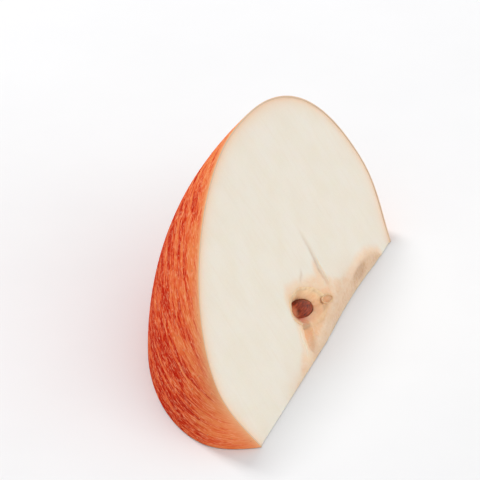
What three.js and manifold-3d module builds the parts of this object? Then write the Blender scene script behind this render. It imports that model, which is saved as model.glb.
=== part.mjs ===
// A slice of apple: about an eighth of the fruit, cut lengthways and lying on one of its two cut faces.
// Millimetres. The slice rests with the hidden cut face down on z = 0, the core edge along +Y towards the
// stem end and on the +X side, and the peel on the -X side.
//
// The fruit is shaped in its own core frame: the core's axis is Z, with the calyx lobes touching z = 0,
// and the slice lies on the +X, -Y side. The front cut passes beside the axis, parallel to it, and the
// back cut passes through it, so that the two meet in a core edge beside the axis.

import * as THREE from 'three';
import * as BufferGeometryUtils from 'three/addons/utils/BufferGeometryUtils.js';
import Module from 'manifold-3d';

// ---------------------------------------------------------------- driving dimensions

// The whole fruit
const APPLE_RADIUS = 38;
const APPLE_HEIGHT = 67.5;
const GIRTH_HEIGHT = 39;              // height of the widest place
const SHOULDER_POWER = 2.45;          // superellipse power above the girth: over 2 is squarer
const BASE_POWER = 1.62;              // and below it: under 2 is more pointed
const STEM_LOBE_RADIUS = 20;          // radius of the highest ring, round the stem cavity
const STEM_CAVITY_DEPTH = 15.4;
const CALYX_LOBE_RADIUS = 17.5;       // radius of the lowest ring, round the calyx basin
const CALYX_BASIN_DEPTH = 7.7;

// The two cuts
const WEDGE_ANGLE = THREE.MathUtils.degToRad(57.5);
const FRONT_CUT_OFFSET = 9.8;         // from the core's axis to the front cut

// The scoop in the core edge, between the seed cell and the stem cavity. It slants: it takes the front cut
// back from the edge and leaves the back cut's side of the edge nearly straight. It is the side of a long
// ellipsoid, whose axis lies above the front cut: across is measured from the core edge, along is the height.
const SCOOP_ACROSS = -2.4;
const SCOOP_RAISED = 12.5;
const SCOOP_HEIGHT = 40;
const SCOOP_HALF_LENGTH = 54.5;
const SCOOP_RADIUS = 13.19;
const SCOOP_LEAN = THREE.MathUtils.degToRad(-8.5);  // its stem end leans away from the edge

// The open seed cell in the front cut: across is measured from the core edge, along is the height
const CELL_ACROSS = 5.5;
const CELL_HEIGHT = 32.6;
const CELL_HALF_LENGTH = 4.6;
const CELL_HALF_WIDTH = 2.4;
const CELL_DEPTH = 2.9;
const CELL_LEAN = THREE.MathUtils.degToRad(18);   // the stem end of the cell leans towards the edge

// The narrow end of the cell, which runs on from it towards the core edge
const TAIL_ACROSS = 3.0;
const TAIL_HEIGHT = 28.8;
const TAIL_HALF_LENGTH = 2.8;
const TAIL_HALF_WIDTH = 1.25;
const TAIL_DEPTH = 1.3;
const TAIL_LEAN = THREE.MathUtils.degToRad(-52);

// The pip in the cell: a flattened teardrop with its point towards the stem
const PIP_LENGTH = 6.6;
const PIP_WIDTH = 3.5;
const PIP_THICKNESS = 2.3;
const PIP_TAPER = 0.28;               // how much narrower the stem end is
const PIP_SUNK = 1.4;                 // from the front cut down to the pip's middle

// Facets
const APPLE_SEGMENTS = 210;
const LOBE_STEPS = 9;
const FLANK_STEPS = 19;
const SCOOP_SEGMENTS = 128;
const CELL_SEGMENTS = 28;
const PIP_SEGMENTS = 20;
const PIP_STEPS = 14;

// ---------------------------------------------------------------- solids

const wasm = await Module();
wasm.setup();

function toSolid(geometry) {
  const bare = geometry.clone();
  bare.deleteAttribute('normal');
  bare.deleteAttribute('uv');
  const merged = BufferGeometryUtils.mergeVertices(bare);
  return new wasm.Manifold(new wasm.Mesh({
    numProp: 3,
    vertProperties: new Float32Array(merged.attributes.position.array),
    triVerts: new Uint32Array(merged.index.array),
  }));
}

function toGeometry(solid) {
  const mesh = solid.getMesh();
  const geometry = new THREE.BufferGeometry();
  geometry.setAttribute('position', new THREE.BufferAttribute(mesh.vertProperties, 3));
  geometry.setIndex(new THREE.BufferAttribute(mesh.triVerts, 1));
  geometry.computeVertexNormals();
  return geometry;
}

// A LatheGeometry turns about Y: this stands it on Z.
function latheOnZ(profile, segments) {
  return new THREE.LatheGeometry(profile, segments).rotateX(Math.PI / 2);
}

// ---------------------------------------------------------------- the whole fruit

// Half the fruit's section, as (radius, height), from the calyx basin up to the stem cavity
function appleProfile() {
  const profile = [];
  for (let i = 0; i < LOBE_STEPS; i++) {
    const share = i / LOBE_STEPS;
    const rise = CALYX_BASIN_DEPTH * (1 + Math.cos(Math.PI * share)) / 2;
    profile.push(new THREE.Vector2(CALYX_LOBE_RADIUS * share, rise));
  }
  for (let i = 0; i < FLANK_STEPS; i++) {
    const turn = i / FLANK_STEPS * Math.PI / 2;
    const out = Math.sin(turn) ** (2 / BASE_POWER);
    const up = 1 - Math.cos(turn) ** (2 / BASE_POWER);
    profile.push(new THREE.Vector2(
      CALYX_LOBE_RADIUS + (APPLE_RADIUS - CALYX_LOBE_RADIUS) * out,
      GIRTH_HEIGHT * up,
    ));
  }
  for (let i = 0; i < FLANK_STEPS; i++) {
    const turn = i / FLANK_STEPS * Math.PI / 2;
    const out = Math.cos(turn) ** (2 / SHOULDER_POWER);
    const up = Math.sin(turn) ** (2 / SHOULDER_POWER);
    profile.push(new THREE.Vector2(
      STEM_LOBE_RADIUS + (APPLE_RADIUS - STEM_LOBE_RADIUS) * out,
      GIRTH_HEIGHT + (APPLE_HEIGHT - GIRTH_HEIGHT) * up,
    ));
  }
  for (let i = 0; i <= LOBE_STEPS; i++) {
    const share = 1 - i / LOBE_STEPS;
    const drop = STEM_CAVITY_DEPTH * (1 + Math.cos(Math.PI * share)) / 2;
    profile.push(new THREE.Vector2(STEM_LOBE_RADIUS * share, APPLE_HEIGHT - drop));
  }
  return profile;
}

function wholeApple() {
  return toSolid(latheOnZ(appleProfile(), APPLE_SEGMENTS));
}

// ---------------------------------------------------------------- the cuts

// Where the two cuts meet, in the core frame
const EDGE = new THREE.Vector2(FRONT_CUT_OFFSET / Math.tan(WEDGE_ANGLE), -FRONT_CUT_OFFSET);

// A prism over the space between the two cuts, larger than the fruit
function wedgePrism() {
  const reach = 3 * APPLE_RADIUS;
  const margin = APPLE_RADIUS / 2;
  const outline = new THREE.Shape([
    EDGE,
    new THREE.Vector2(EDGE.x + reach * Math.cos(WEDGE_ANGLE), EDGE.y - reach * Math.sin(WEDGE_ANGLE)),
    new THREE.Vector2(EDGE.x + reach, EDGE.y),
  ]);
  const depth = APPLE_HEIGHT + 2 * margin;
  const prism = new THREE.ExtrudeGeometry(outline, { depth, bevelEnabled: false });
  return toSolid(prism.translate(0, 0, -margin));
}

// ---------------------------------------------------------------- dents in the slice

// An ellipsoid with half axes in X, Y and Z
function ellipsoid(halfX, halfY, halfZ, segments) {
  return new THREE.SphereGeometry(1, segments, segments / 2)
    .rotateX(Math.PI / 2)
    .scale(halfX, halfY, halfZ);
}

// Turns a shape in the plane of the front cut and sets it there, sunk by the given depth
function setInFrontCut(geometry, across, height, lean, sunk = 0) {
  return geometry
    .rotateY(-lean)
    .translate(EDGE.x + across, EDGE.y - sunk, height);
}

function scoop() {
  const shape = ellipsoid(SCOOP_RADIUS, SCOOP_RADIUS, SCOOP_HALF_LENGTH, SCOOP_SEGMENTS);
  return toSolid(setInFrontCut(shape, SCOOP_ACROSS, SCOOP_HEIGHT, SCOOP_LEAN, -SCOOP_RAISED));
}

function seedCell() {
  const cell = ellipsoid(CELL_HALF_WIDTH, CELL_DEPTH, CELL_HALF_LENGTH, CELL_SEGMENTS);
  const tail = ellipsoid(TAIL_HALF_WIDTH, TAIL_DEPTH, TAIL_HALF_LENGTH, CELL_SEGMENTS);
  setInFrontCut(cell, CELL_ACROSS, CELL_HEIGHT, CELL_LEAN);
  setInFrontCut(tail, TAIL_ACROSS, TAIL_HEIGHT, TAIL_LEAN);
  return toSolid(cell).add(toSolid(tail));
}

// ---------------------------------------------------------------- the pip

function pip() {
  const profile = [];
  for (let i = 0; i <= PIP_STEPS; i++) {
    const turn = i / PIP_STEPS * Math.PI;
    const taper = 1 - PIP_TAPER * (1 - Math.cos(turn)) / 2;
    const radius = PIP_WIDTH / 2 * Math.sin(turn) * taper;
    const atPole = i === 0 || i === PIP_STEPS;
    profile.push(new THREE.Vector2(atPole ? 0 : radius, -PIP_LENGTH / 2 * Math.cos(turn)));
  }
  const shape = latheOnZ(profile, PIP_SEGMENTS).scale(1, PIP_THICKNESS / PIP_WIDTH, 1);
  return setInFrontCut(shape, CELL_ACROSS, CELL_HEIGHT, CELL_LEAN, PIP_SUNK);
}

// ---------------------------------------------------------------- assembly

const flesh = new THREE.MeshStandardMaterial({ color: 0xefe3cf, roughness: 0.45, metalness: 0 });
const pipShell = new THREE.MeshStandardMaterial({ color: 0x5a1f12, roughness: 0.3, metalness: 0 });

const slice = new THREE.Mesh(
  toGeometry(wholeApple().intersect(wedgePrism()).subtract(scoop()).subtract(seedCell())),
  flesh,
);
slice.name = 'slice';

const seed = new THREE.Mesh(toGeometry(toSolid(pip())), pipShell);
seed.name = 'pip';

// Lays the back cut on z = 0: its inward normal turns to +Z and the core's axis to +Y. The slice is then
// centred over the origin.
const fruit = new THREE.Group();
fruit.add(slice, seed);
const sine = Math.sin(WEDGE_ANGLE);
const cosine = Math.cos(WEDGE_ANGLE);
fruit.quaternion.setFromRotationMatrix(new THREE.Matrix4().set(
  -cosine, sine, 0, 0,
  0, 0, 1, 0,
  sine, cosine, 0, 0,
  0, 0, 0, 1,
));
const edgeDistance = FRONT_CUT_OFFSET / sine;
fruit.position.set((APPLE_RADIUS + edgeDistance) / 2, -APPLE_HEIGHT / 2, 0);

const part = new THREE.Group();
part.add(fruit);

export default part;
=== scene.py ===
"""Dresses a lengthwise slice of fruit: cream flesh, red peel, the open seed cell and its pip.

Everything is in metres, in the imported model's own frame: the slice lies on its lower cut face on z = 0,
with the core edge along +Y towards the stem end and the peel on the -X side.

Places on the slice are given as (across, height, depth). Across runs in the front cut, away from the core
edge. Height runs along the core, from the calyx end to the stem end. Depth runs into the flesh, square to
the front cut.
"""

import logging
import math
from dataclasses import dataclass, field
from enum import Enum
from typing import Sequence

import bmesh
import bpy
import numpy as np
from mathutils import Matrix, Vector


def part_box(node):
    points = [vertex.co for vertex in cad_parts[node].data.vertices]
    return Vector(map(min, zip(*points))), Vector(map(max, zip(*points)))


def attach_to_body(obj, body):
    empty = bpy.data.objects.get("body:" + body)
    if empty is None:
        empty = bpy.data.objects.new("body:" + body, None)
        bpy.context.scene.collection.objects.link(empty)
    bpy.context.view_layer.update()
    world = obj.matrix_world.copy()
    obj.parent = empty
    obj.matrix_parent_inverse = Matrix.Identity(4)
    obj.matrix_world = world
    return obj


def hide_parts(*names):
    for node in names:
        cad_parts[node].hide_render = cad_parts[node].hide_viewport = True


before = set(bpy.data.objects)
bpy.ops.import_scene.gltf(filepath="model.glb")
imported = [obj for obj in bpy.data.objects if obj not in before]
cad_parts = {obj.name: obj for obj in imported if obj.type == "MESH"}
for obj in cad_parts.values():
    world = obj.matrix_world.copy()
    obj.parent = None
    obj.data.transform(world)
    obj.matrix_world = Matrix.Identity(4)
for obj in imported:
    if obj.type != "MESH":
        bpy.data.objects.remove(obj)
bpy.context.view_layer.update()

log = logging.getLogger("fruit_slice")

MM = 0.001
BODY = "root"

MERGE_DISTANCE = 1e-7
HALF = 0.5
TINY = 1e-9  # keeps a length that is divided by off 0

# A span is the low and high of a smooth step, which may fall. Limits are a ramp's low and high, and what
# those give where that isn't 0 and 1. Sizes are along three axes, and pairs and triples are other values.
Colour = tuple[float, float, float]
Sizes = tuple[float, float, float]
Triple = tuple[float, float, float]
Pair = tuple[float, float]
Span = tuple[float, float]
Limits = tuple[float, ...]
Socket = bpy.types.NodeSocket
Value = "Socket | float | Sequence[float]"


# ---------------------------------------------------------------- helpers


def srgb(red: int, green: int, blue: int) -> Colour:
    """Turns a display colour of 0 to 255 into the linear values that shaders take.

    Args:
        red: the red level.
        green: the green level.
        blue: the blue level.

    Returns:
        The three linear values, from 0 to 1.
    """
    toe, toe_slope, offset, power = 0.04045, 12.92, 0.055, 2.4

    def linear(level: int) -> float:
        """Undoes the display curve for one level."""
        share = level / 255
        return share / toe_slope if share <= toe else ((share + offset) / (1 + offset)) ** power

    return linear(red), linear(green), linear(blue)


def smooth_step(values: np.ndarray, low: float, high: float) -> np.ndarray:
    """Rises smoothly from 0 at low to 1 at high.

    Args:
        values: where to evaluate it.
        low: the value that gives 0.
        high: the value that gives 1, which may be the smaller of the two.

    Returns:
        The shares, from 0 to 1.
    """
    share = np.clip((values - low) / (high - low), 0, 1)
    return share * share * (3 - 2 * share)


def linked(name: str, data: bpy.types.ID) -> bpy.types.Object:
    """Makes an object at the origin and links it to the scene.

    Args:
        name: its name.
        data: its mesh, curve, lamp or camera data.

    Returns:
        The object.
    """
    thing = bpy.data.objects.new(name, data)
    bpy.context.scene.collection.objects.link(thing)
    return thing


def mesh_piece(name: str, points: np.ndarray, faces: list[tuple[int, ...]],
               finish: bpy.types.Material) -> bpy.types.Object:
    """Makes a smooth-shaded piece, with coinciding points merged and faces outwards.

    Args:
        name: the piece's name.
        points: rows of vertices, in metres.
        faces: the vertex numbers of each face.
        finish: its material.

    Returns:
        The piece.
    """
    mesh = bpy.data.meshes.new(name)
    mesh.from_pydata(points.tolist(), [], faces)
    work = bmesh.new()
    work.from_mesh(mesh)
    bmesh.ops.remove_doubles(work, verts=work.verts, dist=MERGE_DISTANCE)
    bmesh.ops.dissolve_degenerate(work, edges=work.edges, dist=MERGE_DISTANCE)
    bmesh.ops.recalc_face_normals(work, faces=work.faces)
    work.to_mesh(mesh)
    work.free()
    mesh.materials.append(finish)
    mesh.shade_smooth()
    return linked(name, mesh)


def lofted_piece(name: str, points: np.ndarray, finish: bpy.types.Material) -> bpy.types.Object:
    """Makes a piece from closed rows of points, each joined to the next.

    Args:
        name: the piece's name.
        points: the vertices, as an array of rows by columns by three.
        finish: its material.

    Returns:
        The piece.
    """
    rows, columns, _ = points.shape
    faces = [(row * columns + column, row * columns + (column + 1) % columns,
              (row + 1) * columns + (column + 1) % columns, (row + 1) * columns + column)
             for row in range(rows - 1) for column in range(columns)]
    return mesh_piece(name, points.reshape(-1, 3), faces, finish)


def vertex_array(mesh: bpy.types.Mesh) -> np.ndarray:
    """Reads a mesh's vertices.

    Args:
        mesh: the mesh.

    Returns:
        Rows of x, y and z.
    """
    flat = np.empty(len(mesh.vertices) * 3)
    mesh.vertices.foreach_get("co", flat)
    return flat.reshape(-1, 3)


def store(mesh: bpy.types.Mesh, name: str, values: np.ndarray) -> None:
    """Stores one number for each vertex, which a material can read."""
    mesh.attributes.new(name, "FLOAT", "POINT").data.foreach_set("value", values.astype(np.float32))


def nearest_on(start: np.ndarray, end: np.ndarray, across: np.ndarray,
               height: np.ndarray) -> tuple[np.ndarray, np.ndarray]:
    """Finds the point of a straight stretch that is nearest to each place.

    Args:
        start: the stretch's first end, as (across, height).
        end: its other end.
        across: the places' distances from the core edge.
        height: the places' heights.

    Returns:
        The distances to it, and how far along the stretch it lies, from 0 to 1.
    """
    step = end - start
    share = ((across - start[0]) * step[0] + (height - start[1]) * step[1]) / (step @ step)
    share = np.clip(share, 0, 1)
    return np.hypot(across - start[0] - share * step[0], height - start[1] - share * step[1]), share


class WaveNoise:
    """A smooth random field: a sum of waves in seeded directions, about -1 to 1 in size."""

    WAVES = 28
    SPREAD = (0.6, 1.7)

    def __init__(self, wavelength: float, seed: int) -> None:
        """Draws the waves.

        Args:
            wavelength: the usual distance from bump to bump, in metres.
            seed: what fixes the draw.
        """
        draw = np.random.default_rng(seed)
        turns = draw.normal(size=(self.WAVES, 3))
        turns /= np.linalg.norm(turns, axis=1, keepdims=True)
        reach = draw.uniform(*self.SPREAD, size=(self.WAVES, 1))
        self._waves = turns * reach * math.tau / wavelength
        self._phases = draw.uniform(0, math.tau, size=self.WAVES)

    def at(self, points: np.ndarray) -> np.ndarray:
        """Evaluates the field at rows of three coordinates."""
        return np.cos(points @ self._waves.T + self._phases).sum(axis=1) / math.sqrt(self.WAVES)


class Graph:
    """Adds nodes to one node tree, of shader or geometry nodes, and links them."""

    def __init__(self, tree: bpy.types.NodeTree) -> None:
        """Keeps the tree that the nodes go into."""
        self.tree = tree

    def node(self, kind: str, inputs: dict | None = None, **properties) -> bpy.types.Node:
        """Adds a node.

        Args:
            kind: the node's type name.
            inputs: a socket or a value for each input, by the input's name or number.
            properties: the node's own settings.

        Returns:
            The new node.
        """
        node = self.tree.nodes.new(kind)
        for name, value in properties.items():
            setattr(node, name, value)
        for key, value in (inputs or {}).items():
            self.feed(node.inputs[key], value)
        return node

    def feed(self, socket: Socket, value: Value) -> None:
        """Links a socket to an input, or sets the input's own value.

        Args:
            socket: the input to fill.
            value: the socket to link from, or a plain value.
        """
        if isinstance(value, Socket):
            self.tree.links.new(value, socket)
        else:
            socket.default_value = value

    def math(self, operation: str, *values: Value, clamp: bool = False) -> Socket:
        """Adds a math node.

        Args:
            operation: the operation's type name.
            values: what it works on.
            clamp: whether the result is kept from 0 to 1.

        Returns:
            The result's socket.
        """
        node = self.node("ShaderNodeMath", operation=operation, use_clamp=clamp)
        for socket, value in zip(node.inputs, values):
            self.feed(socket, value)
        return node.outputs[0]

    def plus(self, first: Value, second: Value) -> Socket:
        """Adds two numbers."""
        return self.math("ADD", first, second)

    def minus(self, first: Value, second: Value) -> Socket:
        """Subtracts the second number from the first."""
        return self.math("SUBTRACT", first, second)

    def times(self, first: Value, second: Value) -> Socket:
        """Multiplies two numbers."""
        return self.math("MULTIPLY", first, second)

    def ramp(self, value: Value, low: Value, high: Value, start: Value = 0.0, end: Value = 1.0,
             smooth: bool = False) -> Socket:
        """Maps a range onto another and keeps inside it.

        Args:
            value: what is mapped.
            low: the value that gives start.
            high: the value that gives end.
            start: the first end of the result.
            end: its other end.
            smooth: whether the ends are eased.

        Returns:
            The result's socket.
        """
        node = self.node("ShaderNodeMapRange", {"Value": value, "From Min": low, "From Max": high,
                                                "To Min": start, "To Max": end})
        if smooth:
            node.interpolation_type = "SMOOTHSTEP"
        return node.outputs["Result"]


class ShaderGraph(Graph):
    """Shader nodes of one material, with the mixes and patterns that the finishes share."""

    def __init__(self, name: str) -> None:
        """Makes the material and its shader.

        Args:
            name: the material's name.
        """
        self.material = bpy.data.materials.new(name)
        self.material.use_nodes = True
        super().__init__(self.material.node_tree)
        self.tree.nodes.clear()
        self.shader = self.node("ShaderNodeBsdfPrincipled")
        self.node("ShaderNodeOutputMaterial", {"Surface": self.shader.outputs[0]})

    def attribute(self, name: str) -> Socket:
        """Reads a number that the mesh stores for each vertex."""
        return self.node("ShaderNodeAttribute", attribute_name=name).outputs["Fac"]

    def place(self) -> Socket:
        """Reads the place on the object, in metres."""
        return self.node("ShaderNodeTexCoord").outputs["Object"]

    def stretched(self, place: Socket, sizes: Sequence[float],
                  turn: Sequence[float] = (0, 0, 0)) -> Socket:
        """Scales a place so that a pattern's cell has the given sizes.

        Args:
            place: the place to scale.
            sizes: the cell's size along each axis, in metres.
            turn: how the pattern is turned first, in radians.

        Returns:
            The scaled place.
        """
        turned = self.node("ShaderNodeMapping", {"Vector": place, "Rotation": turn}, vector_type="TEXTURE")
        scale = [1 / size for size in sizes]
        return self.node("ShaderNodeMapping", {"Vector": turned.outputs[0], "Scale": scale}).outputs[0]

    def noise(self, place: Socket, detail: float = 2.0,
              roughness: float = 0.5, distortion: float = 0.0) -> Socket:
        """Adds a noise with cells of one unit.

        Args:
            place: where it is read.
            detail: how many finer layers it has.
            roughness: how strong those are.
            distortion: how far it is warped.

        Returns:
            The noise, about 0.5 in the middle.
        """
        return self.node("ShaderNodeTexNoise", {
            "Vector": place, "Scale": 1.0, "Detail": detail, "Roughness": roughness, "Distortion": distortion,
        }).outputs["Fac"]

    def blend(self, share: Value, first: Value, second: Value) -> Socket:
        """Mixes two colours.

        Args:
            share: how much of the second there is.
            first: the first colour, linear.
            second: the second colour, linear.

        Returns:
            The mixed colour.
        """
        node = self.node("ShaderNodeMix", data_type="RGBA")
        self.feed(node.inputs[0], share)
        for socket, colour in ((node.inputs[6], first), (node.inputs[7], second)):
            self.feed(socket, colour if isinstance(colour, Socket) else (*colour, 1.0))
        return node.outputs[2]

    def bump(self, height: Socket, distance: float, strength: float) -> None:
        """Adds a fine bump to the shader.

        Args:
            height: the height, from 0 to 1.
            distance: what a height of 1 stands for, in metres.
            strength: how much of the bump shows.
        """
        bump = self.node("ShaderNodeBump", {"Height": height, "Distance": distance, "Strength": strength})
        self.feed(self.shader.inputs["Normal"], bump.outputs[0])

    def settings(self, **values: Value) -> None:
        """Sets the shader's inputs, named with underscores for spaces."""
        for name, value in values.items():
            self.feed(self.shader.inputs[name.replace("_", " ")], value)


class ShapeTree(Graph):
    """Geometry nodes that make a piece from its object's own data, with named inputs for the sizes."""

    def __init__(self, name: str, numbers: Sequence[str], wholes: Sequence[str] = (),
                 places: Sequence[str] = ()) -> None:
        """Makes the tree and its inputs.

        Args:
            name: the tree's name.
            numbers: the names of the inputs that take a number.
            wholes: the names of those that take a whole number.
            places: the names of those that take a place.
        """
        super().__init__(bpy.data.node_groups.new(name, "GeometryNodeTree"))
        kinds = {"Geometry": ("Geometry",), "Float": numbers, "Int": wholes, "Vector": places,
                 "Material": ("Finish",)}
        for kind, names in kinds.items():
            for each in names:
                self.tree.interface.new_socket(each, in_out="INPUT", socket_type=f"NodeSocket{kind}")
        self.tree.interface.new_socket("Geometry", in_out="OUTPUT", socket_type="NodeSocketGeometry")
        self.given = self.node("NodeGroupInput").outputs

    def attribute(self, name: str) -> Socket:
        """Reads a number that the geometry stores for each point."""
        reading = self.node("GeometryNodeInputNamedAttribute", {"Name": name}, data_type="FLOAT")
        return reading.outputs["Attribute"]

    def position(self) -> Socket:
        """Reads each point's place."""
        return self.node("GeometryNodeInputPosition").outputs[0]

    def parts(self, place: Socket) -> bpy.types.NodeOutputs:
        """Splits a place into its X, Y and Z."""
        return self.node("ShaderNodeSeparateXYZ", {0: place}).outputs

    def vector(self, operation: str, inputs: dict) -> Socket:
        """Adds a vector math node and gives its result."""
        return self.node("ShaderNodeVectorMath", inputs, operation=operation).outputs[0]

    def noise(self, size: Value, output: str) -> Socket:
        """Reads a seeded noise at each point's place.

        Args:
            size: the size of its waves, in metres.
            output: which of its outputs is read.

        Returns:
            The noise.
        """
        inputs = {"Vector": self.position(), "W": self.given["Seed"], "Scale": self.math("DIVIDE", 1.0, size),
                  "Detail": 1.0}
        return self.node("ShaderNodeTexNoise", inputs, noise_dimensions="4D").outputs[output]

    def then(self, kind: str, geometry: Socket, inputs: dict | None = None, **properties) -> Socket:
        """Passes a geometry through a node.

        Args:
            kind: the node's type name, without its first words.
            geometry: what goes in.
            inputs: the node's other inputs.
            properties: the node's own settings.

        Returns:
            What comes out.
        """
        node = self.node(f"GeometryNode{kind}", {"Geometry": geometry, **(inputs or {})}, **properties)
        return node.outputs[0]

    def end(self, geometry: Socket) -> None:
        """Ends the tree: instances are made real and the finish is set.

        Args:
            geometry: the finished shape.
        """
        real = self.then("RealizeInstances", geometry)
        finished = self.then("SetMaterial", real, {"Material": self.given["Finish"]})
        self.node("NodeGroupOutput", {"Geometry": finished})

    def run(self, host: bpy.types.Object, values: dict) -> bpy.types.Mesh:
        """Runs the tree on an object.

        Args:
            host: the object, which keeps its own data and no modifier.
            values: the value of each named input.

        Returns:
            The result, as a plain mesh.
        """
        modifier = host.modifiers.new("shape", "NODES")
        modifier.node_group = self.tree
        for item in self.tree.interface.items_tree:
            if item.in_out == "INPUT" and item.name in values:
                modifier[item.identifier] = values[item.name]
        bpy.context.view_layer.update()
        evaluated = host.evaluated_get(bpy.context.evaluated_depsgraph_get())
        mesh = bpy.data.meshes.new_from_object(evaluated)
        host.modifiers.remove(modifier)
        return mesh

    def reshape(self, host: bpy.types.Object, values: dict) -> None:
        """Runs the tree on a mesh object and gives it the result as its own mesh.

        Args:
            host: the mesh object.
            values: the value of each named input.
        """
        old = host.data
        host.data = self.run(host, values)
        bpy.data.meshes.remove(old)


# ---------------------------------------------------------------- the fruit's shape


@dataclass(frozen=True)
class FruitShape:
    """The whole fruit and the two cuts that leave the slice. The sizes are those of the solid."""

    radius: float = 38.0 * MM
    height: float = 67.5 * MM
    girth_height: float = 39.0 * MM
    shoulder_power: float = 2.45
    base_power: float = 1.62
    stem_lobe_radius: float = 20.0 * MM
    stem_cavity_depth: float = 15.4 * MM
    calyx_lobe_radius: float = 17.5 * MM
    calyx_basin_depth: float = 7.7 * MM
    wedge_angle: float = math.radians(57.5)
    front_cut_offset: float = 9.8 * MM
    profile_points: int = 1500
    profile_easing: float = 1.2 * MM
    easing_reach: float = 3.0

    @property
    def edge_radius(self) -> float:
        """The core edge's distance from the core's axis."""
        return self.front_cut_offset / math.sin(self.wedge_angle)

    @property
    def edge_offset(self) -> float:
        """The core edge's distance from the axis, measured along the front cut."""
        return self.front_cut_offset / math.tan(self.wedge_angle)

    @property
    def axis_x(self) -> float:
        """The place of the core's axis in the model's frame, which centres the slice over the origin."""
        return (self.radius + self.edge_radius) / 2

    @property
    def edge_x(self) -> float:
        """The place of the core edge in the model's frame."""
        return self.axis_x - self.edge_radius

    def _whole_profile(self) -> np.ndarray:
        """Works out half the fruit's section.

        Returns:
            Rows of (radius, height) from the calyx basin up to the stem cavity.
        """
        share = np.linspace(0, 1, self.profile_points, endpoint=False)
        turn = share * math.pi / 2
        basin = self.calyx_basin_depth * (1 + np.cos(math.pi * share)) / 2
        low_out = np.sin(turn) ** (2 / self.base_power)
        low_up = 1 - np.cos(turn) ** (2 / self.base_power)
        high_out = np.cos(turn) ** (2 / self.shoulder_power)
        high_up = np.sin(turn) ** (2 / self.shoulder_power)
        inwards = np.linspace(1, 0, self.profile_points)
        drop = self.stem_cavity_depth * (1 + np.cos(math.pi * inwards)) / 2
        low_span = self.radius - self.calyx_lobe_radius
        high_span = self.radius - self.stem_lobe_radius
        rise = self.height - self.girth_height
        stretches = (
            (self.calyx_lobe_radius * share, basin),
            (self.calyx_lobe_radius + low_span * low_out, self.girth_height * low_up),
            (self.stem_lobe_radius + high_span * high_out, self.girth_height + rise * high_up),
            (self.stem_lobe_radius * inwards, self.height - drop),
        )
        return np.concatenate([np.stack(pair, axis=1) for pair in stretches])

    @staticmethod
    def _respaced(line: np.ndarray, count: int) -> np.ndarray:
        """Spaces a line's points evenly along it.

        Args:
            line: rows of (radius, height).
            count: how many points the result has.

        Returns:
            The evenly spaced rows.
        """
        steps = np.linalg.norm(np.diff(line, axis=0), axis=1)
        run = np.concatenate([[0], np.cumsum(steps)])
        wanted = np.linspace(0, run[-1], count)
        return np.stack([np.interp(wanted, run, line[:, axis]) for axis in (0, 1)], axis=1)

    def profile(self, inset: float, count: int) -> np.ndarray:
        """Works out the slice's share of the section, from core edge to core edge.

        Args:
            inset: how far inside the fruit's skin it lies, in metres.
            count: how many points it has.

        Returns:
            Rows of (radius, height), evenly spaced, which start and end on the core edge.
        """
        line = self._respaced(self._whole_profile(), self.profile_points)
        spacing = np.linalg.norm(line[1] - line[0])
        reach = int(self.easing_reach * self.profile_easing / spacing)
        weights = np.exp(-0.5 * (np.arange(-reach, reach + 1) * spacing / self.profile_easing) ** 2)
        weights /= weights.sum()
        padded = np.pad(line, ((reach, reach), (0, 0)), mode="edge")
        line = np.stack([np.convolve(padded[:, axis], weights, "valid") for axis in (0, 1)], axis=1)
        heading = np.gradient(line, axis=0)
        heading /= np.linalg.norm(heading, axis=1, keepdims=True)
        line = line + inset * np.stack([-heading[:, 1], heading[:, 0]], axis=1)
        kept = np.flatnonzero(line[:, 0] >= self.edge_radius)
        first, last = kept[0], kept[-1]
        ends = []
        for inside, outside in ((first, first - 1), (last, last + 1)):
            share = (self.edge_radius - line[outside, 0]) / (line[inside, 0] - line[outside, 0])
            ends.append(line[outside] + share * (line[inside] - line[outside]))
        return self._respaced(np.concatenate([[ends[0]], line[first:last + 1], [ends[1]]]), count)

    def front_turn(self, radii: np.ndarray) -> np.ndarray:
        """Gives the longitude where the front cut meets each radius, in radians."""
        return -np.arcsin(np.clip(self.front_cut_offset / radii, 0, 1))

    def place(self, across: np.ndarray, height: np.ndarray, depth: np.ndarray) -> np.ndarray:
        """Turns places on the slice into places in the model's frame.

        Args:
            across: distances from the core edge, in the front cut.
            height: heights along the core.
            depth: depths below the front cut.

        Returns:
            Rows of x, y and z.
        """
        sine, cosine = math.sin(self.wedge_angle), math.cos(self.wedge_angle)
        return np.stack([
            self.edge_x - across * cosine - depth * sine,
            height - self.height / 2 + 0 * across,
            across * sine - depth * cosine,
        ], axis=-1)

    def unplace(self, points: np.ndarray) -> tuple[np.ndarray, np.ndarray, np.ndarray]:
        """Turns places in the model's frame into places on the slice.

        Args:
            points: rows of x, y and z.

        Returns:
            Across, height and depth.
        """
        sine, cosine = math.sin(self.wedge_angle), math.cos(self.wedge_angle)
        inwards = self.edge_x - points[:, 0]
        return (inwards * cosine + points[:, 2] * sine, points[:, 1] + self.height / 2,
                inwards * sine - points[:, 2] * cosine)

    def from_longitude(self, radii: np.ndarray, turns: np.ndarray) -> tuple[np.ndarray, np.ndarray]:
        """Turns radius and longitude about the core's axis into across and depth.

        Args:
            radii: distances from the core's axis.
            turns: longitudes, in radians.

        Returns:
            Across and depth.
        """
        across = radii * np.cos(turns) - self.edge_offset
        depth = -radii * np.sin(turns) - self.front_cut_offset
        return across, depth


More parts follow.
